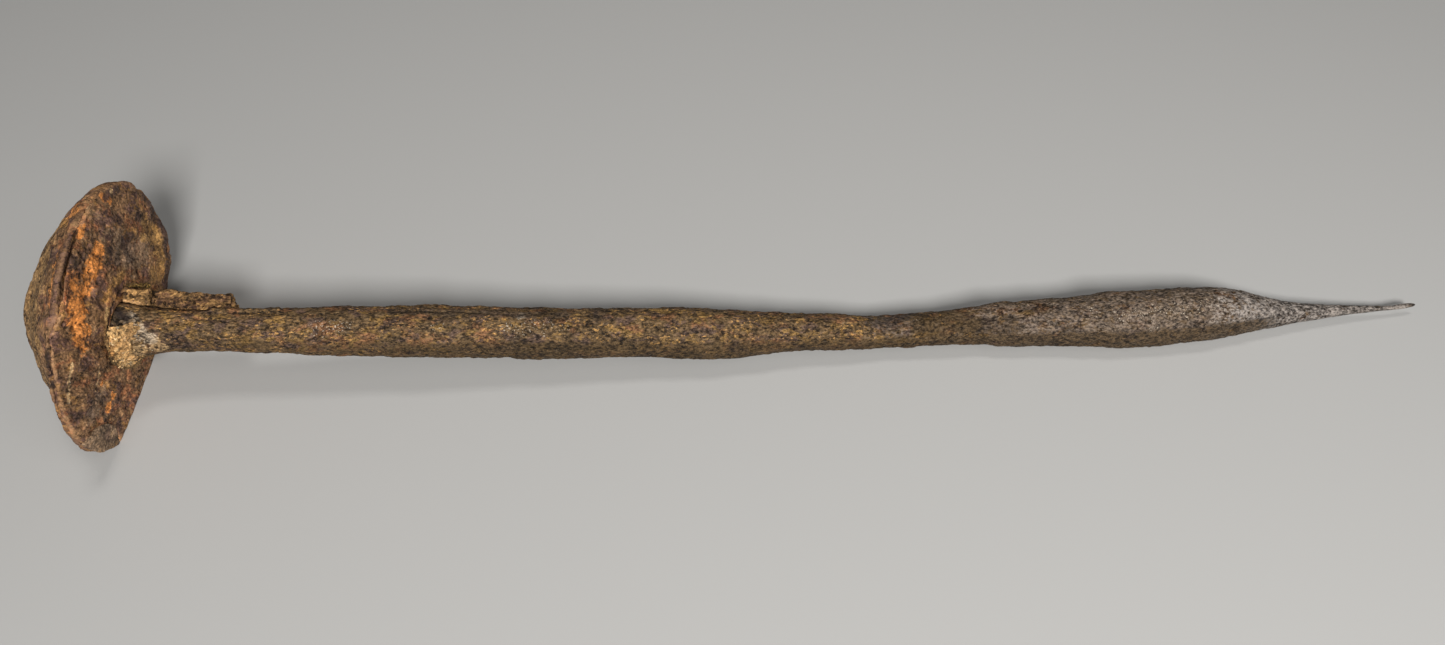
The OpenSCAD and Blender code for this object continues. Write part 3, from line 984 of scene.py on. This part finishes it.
class DRIFT_OT_crusts(bpy.types.Operator):
    """Dresses the tan crust in the corner of the root and the yellow crust on the block"""

    bl_idname = "drift.crusts"
    bl_label = "Crusts"

    def execute(self, context):
        tan = rusted("tan_crust", (0.62, 0.38, 0.16),
                     hues=(((0.38, 0.2, 0.07), 5, 0.5, 0.6), ((0.8, 0.62, 0.38), 4, 0.54, 0.64)),
                     stains=(("brown", (0.34, 0.19, 0.075), 0.85),),
                     contrast=0.9, gloss=0.05, bump=0.8)
        yellow = rusted("yellow_crust", (0.3, 0.18, 0.05),
                        hues=(((0.16, 0.09, 0.03), 3, 0.45, 0.58),), gloss=0.05, bump=0.8)
        for node, slot, finish, seed in (("root_crust", "tan_crust", tan, 71),
                                         ("crest_crust", "yellow_crust", yellow, 81)):
            piece = copy_of(node, slot + "_lumps")
            apply_modifier(piece, "REMESH", mode="VOXEL", voxel_size=0.25 * MM)
            places = points(piece)
            s, _ = bar_distance(places)
            # The crust sinks towards its far end and is drawn under the bar
            under = ease(160, 190, angle_round_bar(places))
            sunk = (2.6 + 2 * mottle(places, 4, seed)) * ease(4, 10.5, s)
            shift(piece, sunk, "Y")
            shift(piece, sunk * under, "Z")
            shift(piece, -1.2 * under)
            relief(piece, 3.0, 5, seed=seed, level=0.6, noise_depth=2)
            relief(piece, 1.6, 2.2, seed=seed + 1, noise_depth=2)
            relief(piece, 0.7, 0.9, seed=seed + 2, noise_depth=2)
            places = points(piece)
            s, _ = bar_distance(places)
            keep(piece, "brown", ease(4, 8.5, s + 1.5 * mottle(places, 3, seed)))
            hand_over(piece, node, finish)
        return {"FINISHED"}


class DRIFT_OT_stage(bpy.types.Operator):
    """Makes the floor, the lights and the camera"""

    bl_idname = "drift.stage"
    bl_label = "Stage"

    def execute(self, context):
        stage = context.scene.drift_stage
        context.scene.view_settings.view_transform = "Standard"
        bpy.ops.object.select_all(action="DESELECT")
        bpy.ops.mesh.primitive_plane_add(size=12)
        floor = context.active_object
        floor.name = "floor"
        paint = bpy.data.materials.new("floor")
        paint.use_nodes = True
        shader = paint.node_tree.nodes["Principled BSDF"]
        shader.inputs["Base Color"].default_value = (*stage.floor_colour, 1)
        shader.inputs["Roughness"].default_value = 0.9
        floor.data.materials.append(paint)
        world = bpy.data.worlds.new("daylight")
        context.scene.world = world
        world.use_nodes = True
        world.node_tree.nodes["Background"].inputs["Color"].default_value = (1, 1, 1, 1)
        world.node_tree.nodes["Background"].inputs["Strength"].default_value = stage.daylight
        self.lamp("key", (0.1, -0.95, 0.9), 0.28, stage.key_power)
        self.lamp("side", (0.6, -0.7, 1.1), 0.6, 0.14 * stage.key_power)
        self.lamp("top", (0, -0.03, 1.4), 0.25, 0.2 * stage.key_power)
        self.camera(context, stage.lens)
        return {"FINISHED"}

    def lamp(self, name, place, size, power):
        """A square lamp that shines at the spike's middle."""
        turn = (-Vector(place)).to_track_quat("-Z", "Y").to_euler()
        bpy.ops.object.light_add(type="AREA", location=place, rotation=turn)
        lamp = bpy.context.active_object
        lamp.name = name
        lamp.data.size = size
        lamp.data.energy = power

    def camera(self, context, lens):
        """The camera stands before the spike's middle and looks down on it."""
        turn = (Matrix.Rotation(math.radians(-5.5), 3, "Z")
                @ Matrix.Rotation(math.radians(39.01), 3, "X")
                @ Matrix.Rotation(math.radians(1.45), 3, "Z"))
        bpy.ops.object.camera_add(location=(-0.0441, -0.2611, 0.3403), rotation=turn.to_euler())
        camera = context.active_object
        camera.name = "camera"
        camera.data.sensor_width = 36
        camera.data.lens = lens
        camera.data.clip_start = 0.01
        context.scene.camera = camera


class DRIFT_PT_sidebar(bpy.types.Panel):
    """The spike's pieces, in the order in which they are made"""

    bl_idname = "DRIFT_PT_sidebar"
    bl_label = "Drift spike"
    bl_space_type = "VIEW_3D"
    bl_region_type = "UI"
    bl_category = "Drift spike"

    def draw(self, context):
        for group in (context.scene.drift_finish, context.scene.drift_stage):
            box = self.layout.box()
            for name in group.__annotations__:
                box.prop(group, name)
        for operator in OPERATORS:
            self.layout.operator(operator.bl_idname)


OPERATORS = (
    DRIFT_OT_shank, DRIFT_OT_head_crown, DRIFT_OT_head_face, DRIFT_OT_rim_spall,
    DRIFT_OT_scale, DRIFT_OT_crusts, DRIFT_OT_stage,
)
CLASSES = (DRIFT_PG_finish, DRIFT_PG_stage, *OPERATORS, DRIFT_PT_sidebar)


def register():
    for cls in CLASSES:
        bpy.utils.register_class(cls)
    bpy.types.Scene.drift_finish = PointerProperty(type=DRIFT_PG_finish)
    bpy.types.Scene.drift_stage = PointerProperty(type=DRIFT_PG_stage)


def unregister():
    del bpy.types.Scene.drift_stage
    del bpy.types.Scene.drift_finish
    for cls in reversed(CLASSES):
        bpy.utils.unregister_class(cls)


def main():
    register()
    bpy.ops.drift.shank()
    bpy.ops.drift.head_crown()
    bpy.ops.drift.head_face()
    bpy.ops.drift.rim_spall()
    bpy.ops.drift.scale()
    bpy.ops.drift.crusts()
    bpy.ops.drift.stage()


if __name__ == "__main__":
    main()
